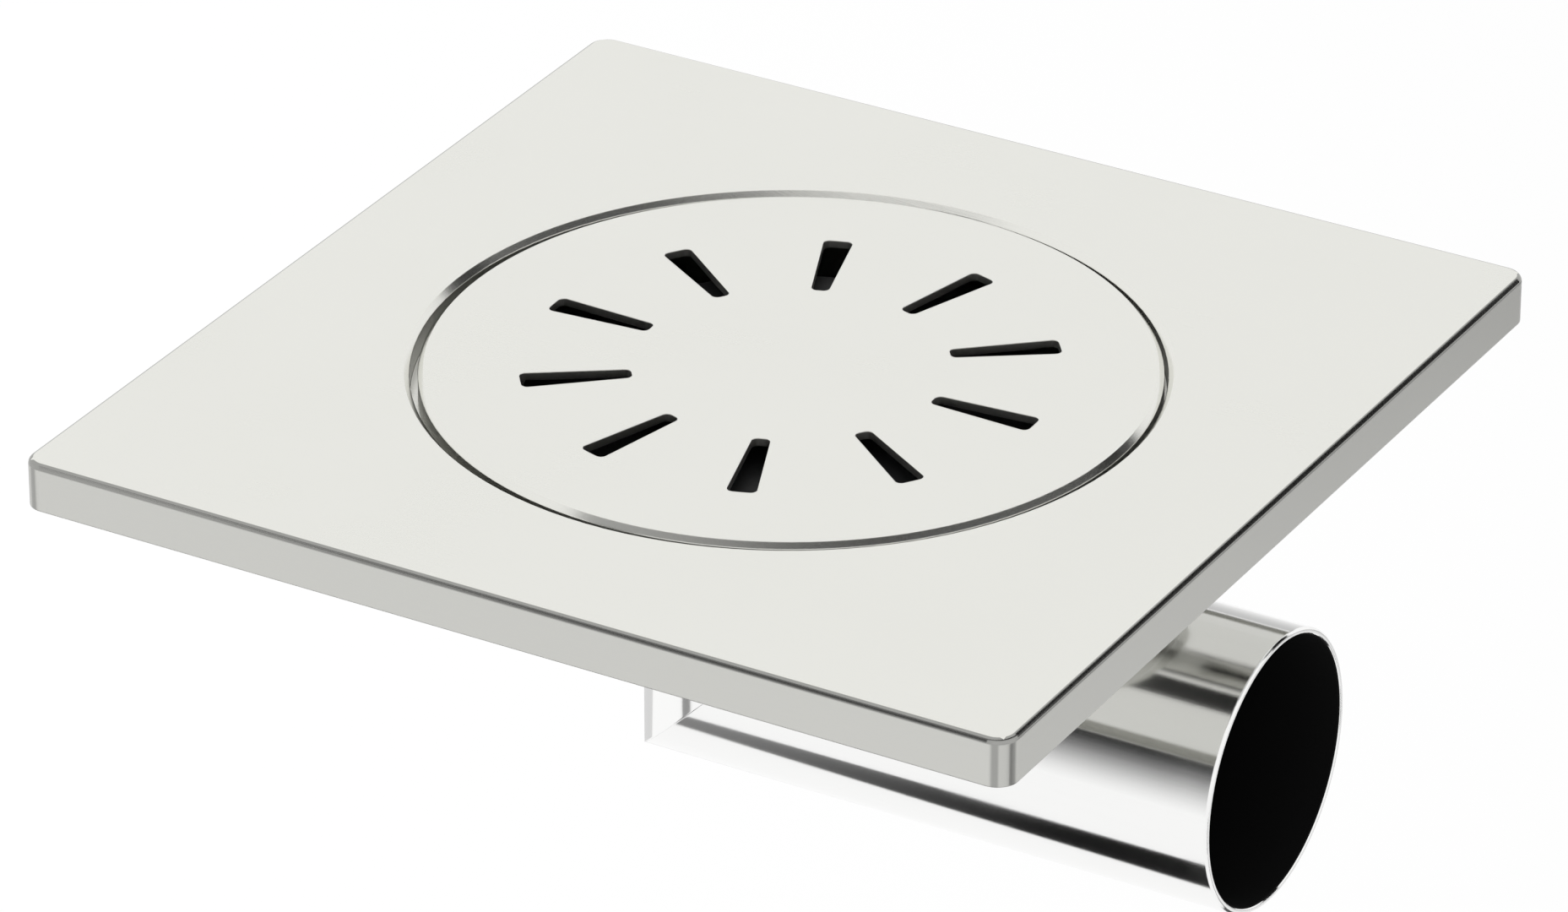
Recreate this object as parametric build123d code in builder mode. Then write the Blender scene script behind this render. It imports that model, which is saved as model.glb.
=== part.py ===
from build123d import *
import os

os.makedirs("parts", exist_ok=True)

# Square floor drain: pressed frame, loose round grate, drawn trap pot, bell and mitred side outlet.
# Millimetres, +Z up. The origin is the middle of the plane that the frame's skirt beds on,
# and the outlet points along +X.

# Frame: a square plate pressed from one sheet, folded down at its edge, with a round sunk seat
frame_side = 150.0
frame_sheet = 1.2
frame_corner = 3.0  # plan radius of the four corners
skirt_height = 7.0  # bedding plane to top face
fold_radius = 0.9  # outside radius of the fold between top face and skirt
lip_break = 0.8  # broken edge of the opening that the grate drops into
ledge_width = 5.5  # seat under the grate, inwards from the wall of the opening
ledge_bend = 0.7  # broken corner outside the bend between that wall and the ledge

# Grate: a round lid pressed from sheet, standing on its turned-down rim
grate_diameter = 101.4
grate_sheet = 1.2
grate_rim = 4.0
grate_break = 0.8  # broken top edge
grate_gap = 0.8  # between the grate and the wall of the opening
grate_turn = 1.6  # degrees, as the loose grate happens to lie
grate_shift_x = 0.25  # off the middle of its seat, likewise
grate_shift_y = 0.2
slot_count = 10
slot_inner_radius = 21.8
slot_outer_radius = 37.0
slot_angle = 6.5  # degrees between the two radial sides of a slot
slot_corner = 0.9

# Trap pot: a drawn cup whose flange is welded under the ledge
pot_sheet = 1.0
pot_depth = 13.8  # from the flange to the floor inside
pot_flange_width = 4.0
pot_bevel = 3.0  # inside the corner between wall and floor
weld_gap = 0.1  # between the pot's floor and the tube welded into it

# Tube: standpipe and outlet, joined in a mitred right angle
tube_diameter = 40.0
tube_wall = 1.0
tube_deburr = 0.3
weir_height = 9.0  # rim of the standpipe above the pot's floor
outlet_clearance = 2.0  # between the pot's floor and the outlet below it
outlet_reach = 75.5  # from the standpipe's axis to the mouth
spigot_length = 28.0  # free end that a socket is pushed over

# Bell: a moulded cup over the standpipe, carried by ribs on the standpipe's rim
bell_wall = 1.6
bell_headroom = 3.0  # under the grate
bell_channel = 8.0  # between the bell's rim and the pot's wall
bell_dip_gap = 2.6  # between the bell's rim and the pot's floor
bell_draft = 1.5  # by which the shoulder is narrower than the rim, on the radius
bell_shoulder = 2.4  # bevel between crown and wall
rib_count = 4
rib_thickness = 1.8
rib_overhang = 4.0  # by which a rib reaches inwards over the standpipe's bore
rib_guide = 3.0  # depth of a rib outside the standpipe
rib_fit = 0.3  # between the ribs' guides and the standpipe

# Levels and radii that the pieces share
seat_radius = grate_diameter / 2 + grate_gap
ledge_radius = seat_radius - ledge_width
ledge_level = skirt_height - grate_rim
ledge_underside = ledge_level - frame_sheet
pot_radius = ledge_radius + pot_sheet
pot_flange_underside = ledge_underside - pot_sheet
pot_floor = ledge_underside - pot_depth
pot_underside = pot_floor - pot_sheet
tube_radius = tube_diameter / 2
bore_radius = tube_radius - tube_wall
floor_hole_radius = tube_radius + weld_gap
weir_level = pot_floor + weir_height
outlet_level = pot_underside - outlet_clearance - tube_radius
bell_top = skirt_height - grate_sheet - bell_headroom
bell_rim_level = pot_floor + bell_dip_gap
bell_rim_radius = ledge_radius - bell_channel
bell_crown_radius = bell_rim_radius - bell_draft
bevel_growth = 2 - 2**0.5  # a bevel's length grows by this share of the wall from its inside to its outside


def rings_of(part, radius):
    # the part's round edges of one radius, from the lowest to the highest
    rings = part.edges().filter_by(GeomType.CIRCLE)
    return rings.filter_by(lambda ring: abs(ring.radius - radius) < 0.001).sort_by(Axis.Z)


def corner_at(sketch, x, y):
    return sketch.vertices().sort_by_distance((x, y))[0]


# Top frame
with BuildPart() as top_frame:
    with BuildSketch():
        RectangleRounded(frame_side, frame_side, frame_corner)
    extrude(amount=skirt_height)
    fillet(top_frame.faces().sort_by(Axis.Z)[-1].edges(), fold_radius)
    with BuildSketch():
        RectangleRounded(frame_side - 2 * frame_sheet, frame_side - 2 * frame_sheet, frame_corner - frame_sheet)
    extrude(amount=skirt_height - frame_sheet, mode=Mode.SUBTRACT)
    # the sunk seat: wall and ledge, then the opening through them
    with BuildSketch(Plane.XY.offset(ledge_underside)):
        Circle(seat_radius + frame_sheet)
    extrude(amount=grate_rim)
    with BuildSketch(Plane.XY.offset(skirt_height)):
        Circle(seat_radius)
    extrude(amount=-grate_rim, mode=Mode.SUBTRACT)
    with BuildSketch(Plane.XY.offset(ledge_level)):
        Circle(ledge_radius)
    extrude(amount=-frame_sheet, mode=Mode.SUBTRACT)
    chamfer(rings_of(top_frame, seat_radius)[-1], lip_break)
    chamfer(rings_of(top_frame, seat_radius + frame_sheet)[0], ledge_bend)

# One slot of the grate, between two radial sides
with BuildSketch() as slot:
    with BuildLine():
        outer_end = CenterArc((0, 0), slot_outer_radius, -slot_angle / 2, slot_angle)
        inner_end = CenterArc((0, 0), slot_inner_radius, -slot_angle / 2, slot_angle)
        Line(outer_end @ 0, inner_end @ 0)
        Line(outer_end @ 1, inner_end @ 1)
    make_face()
    fillet(slot.vertices(), slot_corner)

# Grate, on the ledge
grate_foot = Plane((grate_shift_x, grate_shift_y, ledge_level))
with BuildPart() as grate:
    with BuildSketch(grate_foot):
        Circle(grate_diameter / 2)
    extrude(amount=grate_rim)
    chamfer(grate.faces().sort_by(Axis.Z)[-1].edges(), grate_break)
    with BuildSketch(grate_foot):
        Circle(grate_diameter / 2 - grate_sheet)
    extrude(amount=grate_rim - grate_sheet, mode=Mode.SUBTRACT)
    with BuildSketch(grate_foot.offset(grate_rim)):
        with PolarLocations(0, slot_count, start_angle=grate_turn):
            add(slot.sketch)
    extrude(amount=-grate_sheet, mode=Mode.SUBTRACT)

# Trap pot
with BuildPart() as trap_pot:
    with BuildSketch(Plane.XZ) as pot_section:
        with BuildLine():
            Polyline(
                (pot_radius + pot_flange_width, ledge_underside),
                (ledge_radius, ledge_underside),
                (ledge_radius, pot_floor),
                (floor_hole_radius, pot_floor),
                (floor_hole_radius, pot_underside),
                (pot_radius, pot_underside),
                (pot_radius, pot_flange_underside),
                (pot_radius + pot_flange_width, pot_flange_underside),
                close=True,
            )
        make_face()
        chamfer(corner_at(pot_section, ledge_radius, pot_floor), pot_bevel)
        chamfer(corner_at(pot_section, pot_radius, pot_underside), pot_bevel + bevel_growth * pot_sheet)
    revolve(axis=Axis.Z)

# The plane of the mitre faces the outlet, with its X direction up towards the inside of the bend
mitre = Plane((0, 0, outlet_level), x_dir=(1, 0, 1), z_dir=(1, 0, -1))
spigot_start = outlet_reach - spigot_length
spigot_root = Plane((spigot_start, 0, outlet_level), x_dir=(0, 0, 1), z_dir=(1, 0, 0))

# Standpipe
with BuildPart() as standpipe:
    with BuildSketch(Plane.XY.offset(weir_level)):
        Circle(tube_radius)
        Circle(bore_radius, mode=Mode.SUBTRACT)
    extrude(amount=outlet_level - tube_radius - weir_level)
    split(bisect_by=mitre, keep=Keep.BOTTOM)
    chamfer(standpipe.faces().sort_by(Axis.Z)[-1].edges(), tube_deburr)

# Outlet pipe: from the oval of the mitre to the round root of the spigot, then straight to the mouth
with BuildPart() as outlet_pipe:
    for radius, fill in ((tube_radius, Mode.ADD), (bore_radius, Mode.SUBTRACT)):
        with BuildSketch(mitre):
            Ellipse(radius * 2**0.5, radius)
        with BuildSketch(spigot_root):
            Circle(radius)
        loft(ruled=True, mode=fill)
    with BuildSketch(spigot_root):
        Circle(tube_radius)
        Circle(bore_radius, mode=Mode.SUBTRACT)
    extrude(amount=spigot_length)
    chamfer(outlet_pipe.faces().sort_by(Axis.X)[-1].edges(), tube_deburr)

# The space under the bell, with the ribs left standing in it
with BuildPart() as bell_hollow:
    with BuildSketch(Plane.XZ) as hollow_section:
        with BuildLine():
            Polyline(
                (0, bell_rim_level),
                (0, bell_top - bell_wall),
                (bell_crown_radius - bell_wall, bell_top - bell_wall),
                (bell_rim_radius - bell_wall, bell_rim_level),
                close=True,
            )
        make_face()
        shoulder = corner_at(hollow_section, bell_crown_radius - bell_wall, bell_top - bell_wall)
        chamfer(shoulder, bell_shoulder - bevel_growth * bell_wall)
    revolve(axis=Axis.Z)
    for rib_root, rib_foot in (
        (bore_radius - rib_overhang, weir_level),
        (tube_radius + rib_fit, weir_level - rib_guide),
    ):
        with BuildSketch(Plane.XY.offset(rib_foot)):
            with PolarLocations((rib_root + bell_rim_radius) / 2, rib_count, start_angle=180 / rib_count):
                Rectangle(bell_rim_radius - rib_root, rib_thickness)
        extrude(amount=bell_top - rib_foot, mode=Mode.SUBTRACT)

# Bell
with BuildPart() as trap_bell:
    with BuildSketch(Plane.XZ) as bell_section:
        with BuildLine():
            Polyline(
                (0, bell_rim_level),
                (0, bell_top),
                (bell_crown_radius, bell_top),
                (bell_rim_radius, bell_rim_level),
                close=True,
            )
        make_face()
        chamfer(corner_at(bell_section, bell_crown_radius, bell_top), bell_shoulder)
    revolve(axis=Axis.Z)
    add(bell_hollow.part, mode=Mode.SUBTRACT)

top_frame.part.label = "top_frame"
grate.part.label = "grate"
trap_pot.part.label = "trap_pot"
standpipe.part.label = "standpipe"
outlet_pipe.part.label = "outlet_pipe"
trap_bell.part.label = "trap_bell"

for piece in (top_frame, grate, trap_pot, standpipe, outlet_pipe, trap_bell):
    export_step(piece.part, f"parts/{piece.part.label}.step")
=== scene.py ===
import math
import bmesh
import bpy
from mathutils import Matrix, Vector


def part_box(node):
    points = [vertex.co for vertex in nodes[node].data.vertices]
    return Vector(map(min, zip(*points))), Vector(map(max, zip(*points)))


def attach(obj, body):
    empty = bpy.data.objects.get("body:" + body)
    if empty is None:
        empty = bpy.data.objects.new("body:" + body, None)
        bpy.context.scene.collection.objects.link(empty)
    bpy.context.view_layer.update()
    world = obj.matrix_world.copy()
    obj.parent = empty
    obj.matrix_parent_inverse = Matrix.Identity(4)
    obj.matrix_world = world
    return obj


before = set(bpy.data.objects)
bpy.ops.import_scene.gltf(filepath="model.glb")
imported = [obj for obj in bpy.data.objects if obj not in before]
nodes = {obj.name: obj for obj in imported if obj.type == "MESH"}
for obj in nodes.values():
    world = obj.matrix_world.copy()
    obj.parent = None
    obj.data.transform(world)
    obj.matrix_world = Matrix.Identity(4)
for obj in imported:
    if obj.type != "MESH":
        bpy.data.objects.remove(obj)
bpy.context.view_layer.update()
scene = bpy.context.scene
scene.view_settings.view_transform = "Standard"
print("frame loaded:", sorted(nodes))

# places that several pieces share, read from the solids
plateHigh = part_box("top_frame")[1]
potLow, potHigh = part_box("trap_pot")
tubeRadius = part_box("standpipe")[1].y
outletLow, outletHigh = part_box("outlet_pipe")
outletLevel = (outletLow.z + outletHigh.z) / 2
mm = 0.001


class Wire:
    # one output of a node: sums and products of wires add the Math nodes
    def __init__(self, finish, socket):
        self.finish = finish
        self.socket = socket

    def maths(self, operation, *values):
        return self.finish.node("ShaderNodeMath", {"operation": operation}, dict(enumerate(values)))

    def __add__(self, other):
        return self.maths("ADD", self, other)

    def __sub__(self, other):
        return self.maths("SUBTRACT", self, other)

    def __rsub__(self, other):
        return self.maths("SUBTRACT", other, self)

    def __mul__(self, other):
        return self.maths("MULTIPLY", self, other)

    def __abs__(self):
        return self.maths("ABSOLUTE", self)

    def __gt__(self, other):
        return self.maths("GREATER_THAN", self, other)

    def __lt__(self, other):
        return self.maths("LESS_THAN", self, other)

    __radd__ = __add__
    __rmul__ = __mul__


class Finish:
    # a node tree, filled by one method
    def __init__(self, owner):
        owner.use_nodes = True
        self.owner = owner
        self.tree = owner.node_tree
        self.tree.nodes.clear()

    def node(self, kind, settings=None, sockets=None, out=0):
        made = self.tree.nodes.new(kind)
        for name, value in (settings or {}).items():
            setattr(made, name, value)
        for name, value in (sockets or {}).items():
            if isinstance(value, Wire):
                self.tree.links.new(value.socket, made.inputs[name])
            else:
                made.inputs[name].default_value = value
        return Wire(self, made.outputs[out]) if made.outputs else None

    def split(self, vector):
        return [self.node("ShaderNodeSeparateXYZ", sockets={0: vector}, out=axis) for axis in "XYZ"]

    def place(self):
        # the point on the object, in metres of the shared frame
        return self.split(self.node("ShaderNodeTexCoord", out="Object"))

    def facing(self):
        return self.split(self.node("ShaderNodeNewGeometry", out="Normal"))

    def away(self, first, second):
        # distance from an axis, from the two coordinates across it
        squares = first * first + second * second
        return squares.maths("SQRT", squares)

    def around(self, first, second):
        return first.maths("ARCTAN2", second, first)

    def noise(self, x, y, z, detail=2.0):
        spot = self.node("ShaderNodeCombineXYZ", sockets={"X": x, "Y": y, "Z": z})
        return self.node("ShaderNodeTexNoise", sockets={"Vector": spot, "Scale": 1.0, "Detail": detail})

    def cloud(self, spot, scale, detail=3.0):
        # the same noise in all directions
        x, y, z = spot
        return self.noise(x * scale, y * scale, z * scale, detail)

    def between(self, value, low, high, toLow=0.0, toHigh=1.0):
        limits = {"From Min": low, "From Max": high, "To Min": toLow, "To Max": toHigh}
        return self.node("ShaderNodeMapRange", {"interpolation_type": "SMOOTHSTEP"}, {"Value": value, **limits})

    def blend(self, share, first, second):
        mix = {"data_type": "RGBA", "clamp_factor": True}
        colours = {6: self.shade(first), 7: self.shade(second)}  # sockets A and B of a colour mix
        return self.node("ShaderNodeMix", mix, {"Factor": share, **colours}, out=2)

    def shade(self, colour):
        return colour if isinstance(colour, Wire) else (*colour, 1)

    def relief(self, height, depth, edge):
        # fine relief over edges that are softened by a small radius
        soft = self.node("ShaderNodeBevel", {"samples": 8}, {"Radius": edge})
        return self.node("ShaderNodeBump", sockets={"Height": height, "Distance": depth, "Normal": soft})

    def surface(self, **sockets):
        named = {name.replace("_", " "): value for name, value in sockets.items()}
        shader = self.node("ShaderNodeBsdfPrincipled", sockets=named)
        self.node("ShaderNodeOutputMaterial", sockets={"Surface": shader})
        return self.owner

    def seen(self):
        # 1 for what the camera sees straight, mirrored or through glass
        rays = ("Is Camera Ray", "Is Glossy Ray", "Is Transmission Ray")
        straight, mirrored, through = [self.node("ShaderNodeLightPath", out=name) for name in rays]
        return straight + mirrored + through


def newFinish(name):
    return Finish(bpy.data.materials.new(name))


def wear(node, material):
    node.data.materials.clear()
    node.data.materials.append(material)


# satin steel of the plate and the grate: linished on top with a fine straight grain along X,
# left in the duller mill finish on the skirt and the rims, whose darker colour is partly painted shade of the sides; a
# "facing" is how far up a face looks
satin = {
    "bright": (0.81, 0.81, 0.768), "dull": (0.785, 0.785, 0.742), "roughness": 0.30,
    "millAndSideShade": (0.63, 0.63, 0.60), "millAndSideShadeDull": (0.60, 0.60, 0.572), "millRoughness": 0.33,
    "linishedFacing": (0.4, 0.68),
    "grainAlong": 60, "grainAcross": 5200, "grainDepth": 0.0035 * mm, "edge": 0.25 * mm,
    "cloudScale": 34, "cloudRange": (0.3, 0.7), "mottleRoughness": 0.10,
    "edgeRoughness": 0.17, "edgeFacing": (0.1, 0.25), "edgeEnd": (0.985, 0.94),  # burnished folds and broken edges
    "bend": (0.34, 0.34, 0.325), "bendWidth": 1.1 * mm,  # painted shade along the folds: a dark line in place of a dark reflection
    "bendFacing": (0.05, 0.2), "bendEnd": (0.99, 0.95),
    "corner": (0.36, 0.36, 0.345), "paintedCornerShadeReach": 103.2 * mm,  # painted shade, also down both sides of each corner, for dark reflection streaks
    "paintedCornerShadeSlant": (0.10, 0.28), "paintedCornerShadeRidge": (0.47, 0.40, 0.25, 1.0),
    "belowRoughness": 0.10, "belowFacing": (-0.4, -0.7),  # bright rolled underside of the sheet
}


def satinSteel():
    f = newFinish("satinSteel")
    x, y, z = f.place()
    normalX, normalY, normalZ = f.facing()
    linished = f.between(normalZ, *satin["linishedFacing"])
    across = y + z * abs(normalY)
    grain = f.noise(x * satin["grainAlong"], across * satin["grainAcross"], 0, detail=3)
    cloud = f.cloud((x, y, z), satin["cloudScale"])
    mottle = 0.5 * grain + 0.5 * f.between(cloud, *satin["cloudRange"])
    # the colour off the top is darker than the top's: partly mill finish, partly painted shade of the skirt and the
    # underside
    millAndSideShadeColour = f.blend(mottle, satin["millAndSideShadeDull"], satin["millAndSideShade"])
    topColour = f.blend(mottle, satin["dull"], satin["bright"])
    colour = f.blend(linished, millAndSideShadeColour, topColour)

    outer = x.maths("MAXIMUM", abs(x), abs(y))
    # painted shade: a thin dark band on the outer folds of the plate, in place of a dark reflection
    bend = f.between(normalZ, *satin["bendFacing"]) * f.between(normalZ, *satin["bendEnd"])
    bend = (outer > plateHigh.x - satin["bendWidth"]) * bend
    colour = f.blend(bend, colour, satin["bend"])

    # painted shade: dark strips down the rounded corners of the skirt, in place of dark reflections, kept off the top
    slant = abs(normalX) * abs(normalY)
    corner = f.between(slant, *satin["paintedCornerShadeSlant"]) * f.between(slant, *satin["paintedCornerShadeRidge"])
    corner = (f.away(x, y) > satin["paintedCornerShadeReach"]) * corner
    colour = f.blend(corner * (1 - linished), colour, satin["corner"])

    roughness = satin["millRoughness"] + (satin["roughness"] - satin["millRoughness"]) * linished
    roughness = roughness + satin["mottleRoughness"] * (mottle - 0.5)
    burnished = f.between(normalZ, *satin["edgeFacing"]) * f.between(normalZ, *satin["edgeEnd"])
    roughness = roughness + (satin["edgeRoughness"] - roughness) * burnished
    below = f.between(normalZ, *satin["belowFacing"])
    roughness = roughness + (satin["belowRoughness"] - roughness) * below
    return f.surface(Base_Color=colour, Metallic=1.0, Roughness=roughness,
                     Normal=f.relief(grain, satin["grainDepth"], satin["edge"]))


# polished tube with fine drawing lines; the inside is painted black as shade
polished = {
    "bright": (0.95, 0.95, 0.945), "dull": (0.90, 0.90, 0.89), "roughness": 0.09, "edge": 0.25 * mm,
    "bore": (0.004, 0.004, 0.004), "boreRadius": 19.15 * mm, "boreRoughness": 0.7, "boreGloss": 0.1,
    "lineAlong": 25, "lineAround": 90, "lineDepth": 0.0012 * mm, "lineShare": 0.6, "lineRoughness": 0.05,
    "smearScale": 60, "smearRange": (0.45, 0.75), "smearRoughness": 0.05,
}


def polishedTube(name, along, first, second):
    f = newFinish(name)
    x, y, z = f.place()
    spot = {"x": x, "y": y, "z": z - outletLevel}
    radius = f.away(spot[first], spot[second])
    turn = f.around(spot[first], spot[second])
    lines = f.noise(spot[along] * polished["lineAlong"], turn * polished["lineAround"], 0, detail=3)
    smear = f.cloud((x, y, z), polished["smearScale"])
    # painted shade: inside the bore the tube is black and not metallic, in place of the shade in there
    bore = radius < polished["boreRadius"]
    shine = polished["lineShare"] * lines + (1 - polished["lineShare"]) * smear
    colour = f.blend(bore, f.blend(shine, polished["dull"], polished["bright"]), polished["bore"])
    roughness = polished["roughness"] + polished["lineRoughness"] * (lines - 0.5)
    roughness = roughness + polished["smearRoughness"] * f.between(smear, *polished["smearRange"])
    roughness = roughness + polished["boreRoughness"] * bore
    return f.surface(Base_Color=colour, Metallic=1.0 - bore, Roughness=roughness,
                     Specular_IOR_Level=polished["boreGloss"],
                     Normal=f.relief(lines, polished["lineDepth"], polished["edge"]))


# drawn steel of the pot: rings left by the press tool
drawn = {
    "bright": (0.66, 0.66, 0.635), "dull": (0.56, 0.56, 0.54), "roughness": 0.33, "edge": 0.8 * mm,
    "ringPitch": 2600, "ringTurn": 3, "ringDepth": 0.004 * mm, "ringRoughness": 0.14,
    "cloudScale": 45, "cloudRoughness": 0.10,
}


def drawnSteel():
    f = newFinish("drawnSteel")
    x, y, z = f.place()
    radius = f.away(x, y)
    turn = f.around(x, y)
    rings = f.noise(radius * drawn["ringPitch"], z * drawn["ringPitch"], turn * drawn["ringTurn"])
    cloud = f.cloud((x, y, z), drawn["cloudScale"])
    colour = f.blend(0.5 * rings + 0.5 * cloud, drawn["dull"], drawn["bright"])
    roughness = drawn["roughness"] + drawn["ringRoughness"] * (rings - 0.5)
    roughness = roughness + drawn["cloudRoughness"] * (cloud - 0.5)
    return f.surface(Base_Color=colour, Metallic=1.0, Roughness=roughness,
                     Normal=f.relief(rings, drawn["ringDepth"], drawn["edge"]))


# black moulded bell
moulded = {
    "deep": (0.008, 0.008, 0.009), "worn": (0.02, 0.02, 0.021), "wornRange": (0.35, 0.75), "roughness": 0.55,
    "grainScale": 2600, "grainDepth": 0.01 * mm, "grainRoughness": 0.12, "edge": 0.5 * mm,
    "cloudScale": 70, "cloudRoughness": 0.1,
}


def mouldedPlastic():
    f = newFinish("mouldedPlastic")
    spot = f.place()
    grain = f.cloud(spot, moulded["grainScale"], detail=2)
    cloud = f.cloud(spot, moulded["cloudScale"])
    colour = f.blend(f.between(cloud, *moulded["wornRange"]), moulded["deep"], moulded["worn"])
    roughness = moulded["roughness"] + moulded["grainRoughness"] * (grain - 0.5)
    roughness = roughness + moulded["cloudRoughness"] * (cloud - 0.5)
    return f.surface(Base_Color=colour, Roughness=roughness,
                     Normal=f.relief(grain, moulded["grainDepth"], moulded["edge"]))


# weld metal: grey with a straw tint, and fine soot
bead = {
    "grey": (0.60, 0.60, 0.585), "straw": (0.62, 0.53, 0.40), "strawScale": 90, "strawRange": (0.4, 0.7),
    "soot": (0.30, 0.29, 0.28), "sootScale": 1500, "sootRange": (0.62, 0.8, 0.0, 0.5),
    "roughness": 0.30, "sootRoughness": 0.25, "sootDepth": 0.006 * mm, "edge": 0.1 * mm,
}


def weldMetal():
    f = newFinish("weldMetal")
    spot = f.place()
    straw = f.cloud(spot, bead["strawScale"], detail=2)
    soot = f.cloud(spot, bead["sootScale"], detail=2)
    colour = f.blend(f.between(straw, *bead["strawRange"]), bead["grey"], bead["straw"])
    colour = f.blend(f.between(soot, *bead["sootRange"]), colour, bead["soot"])
    roughness = bead["roughness"] + bead["sootRoughness"] * (soot - 0.5)
    return f.surface(Base_Color=colour, Metallic=1.0, Roughness=roughness,
                     Normal=f.relief(soot, bead["sootDepth"], bead["edge"]))


satinMaterial = satinSteel()
wear(nodes["top_frame"], satinMaterial)
wear(nodes["grate"], satinMaterial)
wear(nodes["trap_pot"], drawnSteel())
wear(nodes["standpipe"], polishedTube("polishedRiser", "z", "x", "y"))
wear(nodes["outlet_pipe"], polishedTube("polishedOutlet", "x", "y", "z"))
wear(nodes["trap_bell"], mouldedPlastic())
weldMaterial = weldMetal()
print("finishes on", len(nodes), "solids")


def addPiece(name, shape):
    bmesh.ops.recalc_face_normals(shape, faces=shape.faces)
    mesh = bpy.data.meshes.new(name)
    shape.to_mesh(mesh)
    shape.free()
    for face in mesh.polygons:
        face.use_smooth = True
    piece = bpy.data.objects.new(name, mesh)
    scene.collection.objects.link(piece)
    wear(piece, weldMaterial)
    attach(piece, "root")


# fillet weld round the tube, under the pot's floor: overlapping scales, each drawn out in the middle
tubeWeld = {
    "leg": 1.6 * mm, "crown": 0.24, "sunk": 0.2 * mm,
    "scales": 104, "scaleDepth": 0.5, "lag": 0.9, "stepsPerScale": 7, "profileSteps": 9,
}


def weldRound():
    leg = tubeWeld["leg"]
    steps = tubeWeld["scales"] * tubeWeld["stepsPerScale"]
    shape = bmesh.new()
    rings = []
    for step in range(steps):
        turn = 2 * math.pi * step / steps
        profile = [(tubeRadius - tubeWeld["sunk"], potLow.z + tubeWeld["sunk"])]
        for spot in range(tubeWeld["profileSteps"] + 1):
            s = spot / tubeWeld["profileSteps"]
            hump = 4 * s * (1 - s)
            phase = (step / tubeWeld["stepsPerScale"] + tubeWeld["lag"] * hump) % 1
            rise = leg * tubeWeld["crown"] * hump * (1 - tubeWeld["scaleDepth"] * phase ** 2) / math.sqrt(2)
            profile.append((tubeRadius + leg * s + rise, potLow.z - leg * (1 - s) - rise))
        rings.append([shape.verts.new((r * math.cos(turn), r * math.sin(turn), z)) for r, z in profile])
    for ring, after in zip(rings, rings[1:] + rings[:1]):
        for corner in range(len(ring)):
            nextCorner = (corner + 1) % len(ring)
            shape.faces.new((ring[corner], after[corner], after[nextCorner], ring[nextCorner]))
    addPiece("tube_weld", shape)


# spot welds that hold the pot's flange under the ledge: shallow craters with a raised lip
spotWeld = {
    "count": 12, "radius": 49 * mm, "width": 1.7 * mm, "lip": 0.13 * mm, "potSheet": 1.0 * mm, "sides": 28,
    "profile": [(1.0, -0.4), (0.9, 0.45), (0.76, 1.0), (0.6, 0.55), (0.42, 0.22)],  # shares of width and lip
}


def spotWelds():
    under = potHigh.z - spotWeld["potSheet"]
    sides = spotWeld["sides"]
    turns = [2 * math.pi * side / sides for side in range(sides)]
    shape = bmesh.new()
    for number in range(spotWeld["count"]):
        turn = 2 * math.pi * (number + 0.5) / spotWeld["count"]
        middleX = spotWeld["radius"] * math.cos(turn)
        middleY = spotWeld["radius"] * math.sin(turn)
        rings = []
        for wide, high in spotWeld["profile"]:
            radius = wide * spotWeld["width"]
            z = under - high * spotWeld["lip"]
            rings.append([shape.verts.new((middleX + radius * math.cos(a), middleY + radius * math.sin(a), z))
                          for a in turns])
        for outer, inner in zip(rings, rings[1:]):
            for side in range(sides):
                after = (side + 1) % sides
                shape.faces.new((outer[side], inner[side], inner[after], outer[after]))
        shape.faces.new(rings[-1])
    addPiece("spot_welds", shape)


weldRound()
spotWelds()
print("welds added")

# stage: pale floor well below the drain, as it hangs free in the photograph
stage = {"floorLevel": -0.36, "floorHalf": 4.0, "floorTone": 0.9, "shadowShare": 0.22, "roomTone": 0.92}


def paleFloor():
    f = newFinish("paleFloor")
    tone = stage["floorTone"]
    paper = f.node("ShaderNodeBsdfDiffuse", sockets={"Color": (tone, tone, tone, 1)})
    white = f.node("ShaderNodeEmission", sockets={"Color": (1, 1, 1, 1), "Strength": 1.0})
    top = f.node("ShaderNodeMixShader", sockets={0: (1 - stage["shadowShare"]) * f.seen(), 1: paper, 2: white})
    clear = f.node("ShaderNodeBsdfTransparent")
    fromBelow = f.node("ShaderNodeNewGeometry", out="Backfacing")
    shader = f.node("ShaderNodeMixShader", sockets={0: fromBelow, 1: top, 2: clear})
    f.node("ShaderNodeOutputMaterial", sockets={"Surface": shader})
    return f.owner


def flatPiece(name, across, level, outline, material):
    # a sheet at one level of the axis that it lies across; its outline is in the other two
    corners = []
    for spot in outline:
        corner = list(spot)
        corner.insert("xyz".index(across), level)
        corners.append(corner)
    mesh = bpy.data.meshes.new(name)
    mesh.from_pydata(corners, [], [tuple(range(len(corners)))])
    piece = bpy.data.objects.new(name, mesh)
    piece.data.materials.append(material)
    scene.collection.objects.link(piece)
    return piece


half = stage["floorHalf"]
flatPiece("floor", "z", stage["floorLevel"], [(-half, -half), (half, -half), (half, half), (-half, half)], paleFloor())

world = bpy.data.worlds.new("studio")
scene.world = world
studio = Finish(world)
room = stage["roomTone"]
ambient = studio.node("ShaderNodeBackground", sockets={"Color": (room, room, room, 1), "Strength": 1.0})
white = studio.node("ShaderNodeBackground", sockets={"Color": (1, 1, 1, 1), "Strength": 1.0})
sky = studio.node("ShaderNodeMixShader", sockets={0: studio.seen(), 1: ambient, 2: white})
studio.node("ShaderNodeOutputWorld", sockets={"Surface": sky})

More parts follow.
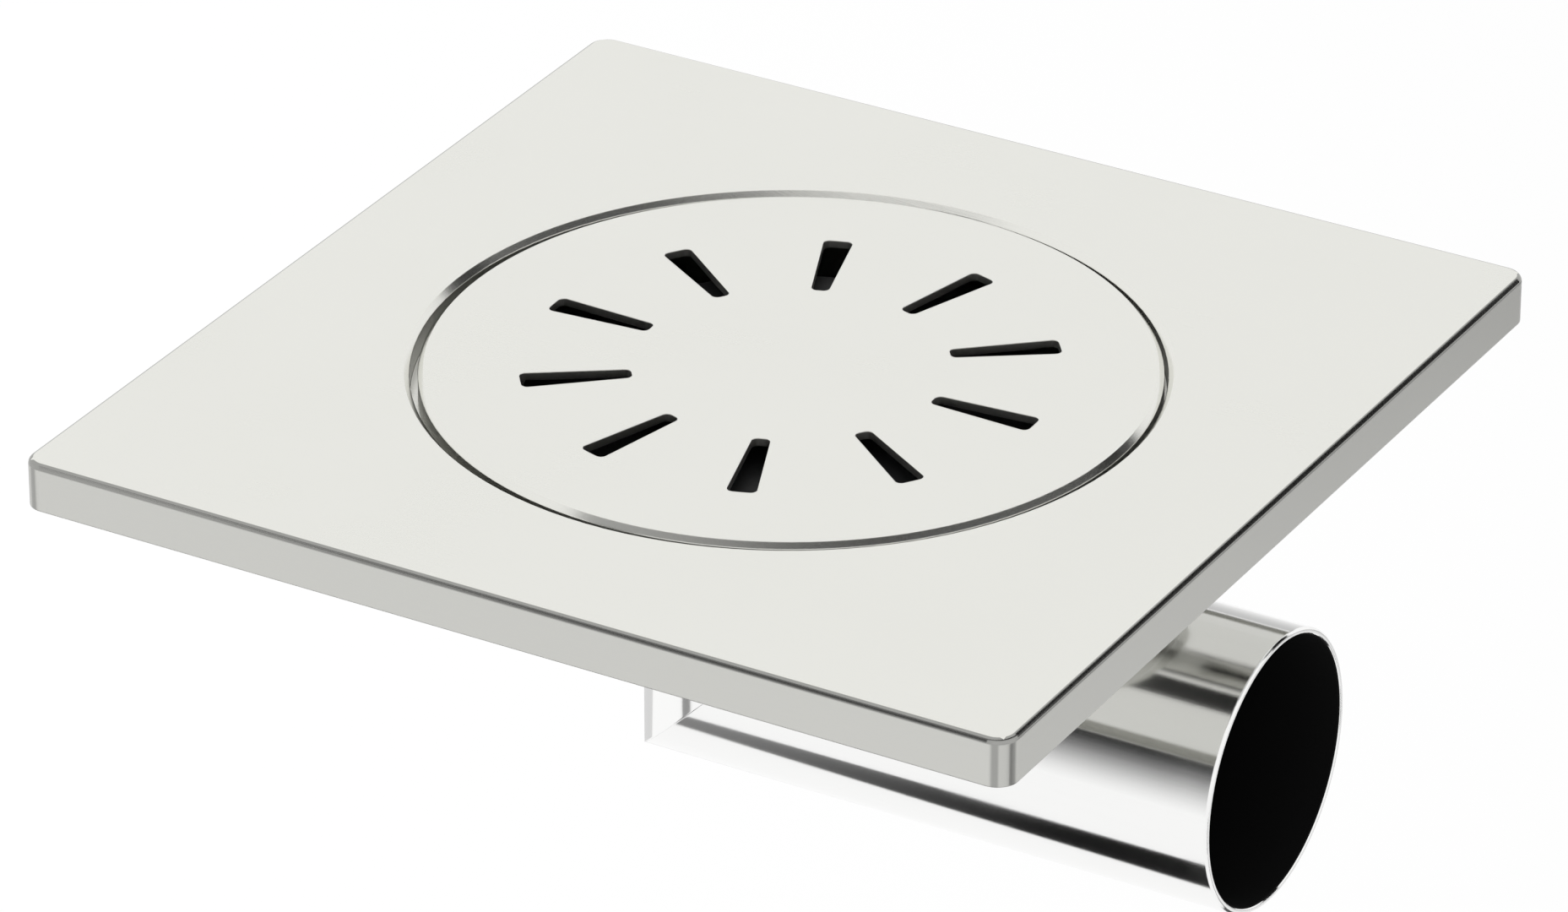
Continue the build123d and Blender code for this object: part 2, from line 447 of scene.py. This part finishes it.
# one large softbox on the left
key = {"place": (-1.25, -0.15, 0.55), "size": (1.6, 1.2), "power": 9.0}
lamp = bpy.data.lights.new("keySoftbox", "AREA")
lamp.shape = "RECTANGLE"
lamp.size, lamp.size_y = key["size"]
lamp.energy = key["power"]
softbox = bpy.data.objects.new("keySoftbox", lamp)
softbox.location = key["place"]
softbox.rotation_mode = "QUATERNION"
softbox.rotation_quaternion = (-Vector(key["place"])).to_track_quat("-Z", "Y")
softbox.visible_glossy = False  # the steel mirrors the white room, not the lamp
scene.collection.objects.link(softbox)

# flags and cards out of the camera's sight, which the steel mirrors as the dark lines and grey sides
# of the photograph; each lies across one axis at a level, and fades along an axis from a place and tone to another
cards = {
    "flagAbove": {  # dark line on the left fold, and round the front and the right of the groove
        "across": "z", "level": 0.95, "fade": ("x", -0.45, 0.34, 0.60, 0.03),
        "outline": [(-0.72, -0.54), (-0.74, -1.05), (-0.36, -1.05), (-0.10, -0.80), (0.33, -0.66), (0.72, -0.35),
                    (0.97, 0.08), (1.15, 0.60), (1.30, 1.15), (1.30, 1.45), (0.95, 1.45), (0.80, 1.15),
                    (0.74, 0.80), (0.58, 0.25), (0.44, -0.12), (0.20, -0.38), (0.0, -0.49), (-0.30, -0.54)]},
    "flagFront": {  # lower half of that line on the fold
        "across": "y", "level": -1.05, "fade": ("x", -0.74, 0.08, -0.36, 0.08),
        "outline": [(-0.66, 0.50), (-0.36, 0.50), (-0.36, 0.95), (-0.74, 0.95)]},
    "flagSide": {  # soft grey on the pipe, below the mirrored skirt
        "across": "y", "level": -1.05, "fade": ("z", -0.42, 1.0, 0.42, 0.03),
        "outline": [(-0.54, -0.34), (-0.30, -0.34), (-0.30, 0.50), (-0.54, 0.50)]},
    "flagRear": {  # grey along the pipe's upper outline
        "across": "y", "level": 0.95, "fade": ("z", -0.36, 0.90, 0.16, 0.55),
        "outline": [(-0.48, -0.30), (-0.22, -0.30), (-0.22, 0.16), (-0.48, 0.16)]},
    "flagBehind": {  # dark line on the right fold
        "across": "y", "level": 0.95, "fade": ("z", -0.10, 0.01, 0.90, 0.01),
        "outline": [(0.20, 0.62), (0.26, 0.84), (0.42, 0.93), (0.70, 0.84), (0.91, 0.55), (1.01, 0.20),
                    (1.01, -0.04), (0.60, -0.04), (0.57, 0.12), (0.48, 0.34), (0.36, 0.50)]},
    "cardCorner": {  # strip on the near corner
        "across": "z", "level": -0.34, "fade": ("x", 0.45, 0.05, 0.80, 0.05),
        "outline": [(0.45, -0.10), (0.80, -0.10), (0.80, 0.12), (0.45, 0.12)]},
    "cardFloor": {  # dark line low on the pipe and up the riser, and the streak under the plate
        "across": "z", "level": -0.34, "fade": ("x", -0.20, 0.30, -0.08, 0.01),
        "outline": [(-0.02, -0.01), (-0.05, -0.186), (-0.12, -0.179), (-0.18, -0.156),
                    (-0.60, -0.40), (-0.56, -0.27), (-0.18, -0.093)]},
    "cardRear": {  # the same line on the far side of the pipe
        "across": "z", "level": -0.34, "fade": ("x", -0.04, 0.20, 0.20, 0.03),
        "outline": [(-0.04, 0.10), (0.45, 0.10), (0.45, 0.19), (-0.04, 0.19)]},
    "cardLeft": {  # pale line on the riser's left edge
        "across": "z", "level": -0.34, "fade": ("x", -0.80, 0.70, -0.20, 0.70),
        "outline": [(-0.20, 0.36), (-0.34, 0.62), (-0.80, 0.32), (-0.60, 0.10)]},
    "cardBehind": {  # grey of the right skirt
        "across": "z", "level": -0.34, "fade": ("y", 0.35, 0.87, 0.85, 0.42),
        "outline": [(0.15, 0.2), (0.95, 0.2), (0.95, 1.3), (0.15, 1.3)]},
}
for name, card in cards.items():
    felt = newFinish(name + "Felt")
    axis, low, lowTone, high, highTone = card["fade"]
    tone = felt.between(felt.place()["xyz".index(axis)], low, high, lowTone, highTone)
    glow = felt.node("ShaderNodeEmission", sockets={"Color": tone})
    felt.node("ShaderNodeOutputMaterial", sockets={"Surface": glow})
    piece = flatPiece(name, card["across"], card["level"], card["outline"], felt.owner)
    piece.visible_camera = False
    piece.visible_shadow = False
    piece.visible_diffuse = False
print("stage and lamps in place")

# camera of the photograph, solved from the plate's edges, the ring of the grate and the mouth
photo = {
    "azimuth": 30.0, "elevation": 28.48, "distance": 1.2465, "lens": 210.9, "sensor": 36,
    "aimAcross": -0.66 * mm, "aimUp": -12.56 * mm,
}
azimuth = math.radians(photo["azimuth"])
elevation = math.radians(photo["elevation"])
back = Vector((math.sin(azimuth) * math.cos(elevation), -math.cos(azimuth) * math.cos(elevation), math.sin(elevation)))
right = Vector((math.cos(azimuth), math.sin(azimuth), 0))
up = back.cross(right)
aim = Vector((0, 0, plateHigh.z)) + right * photo["aimAcross"] + up * photo["aimUp"]
lens = bpy.data.cameras.new("photoCamera")
lens.sensor_width = photo["sensor"]
lens.lens = photo["lens"]
camera = bpy.data.objects.new("photoCamera", lens)
turned = Matrix((right, up, back)).transposed().to_4x4()
camera.matrix_world = Matrix.Translation(aim + back * photo["distance"]) @ turned
scene.collection.objects.link(camera)
scene.camera = camera
print("camera set")
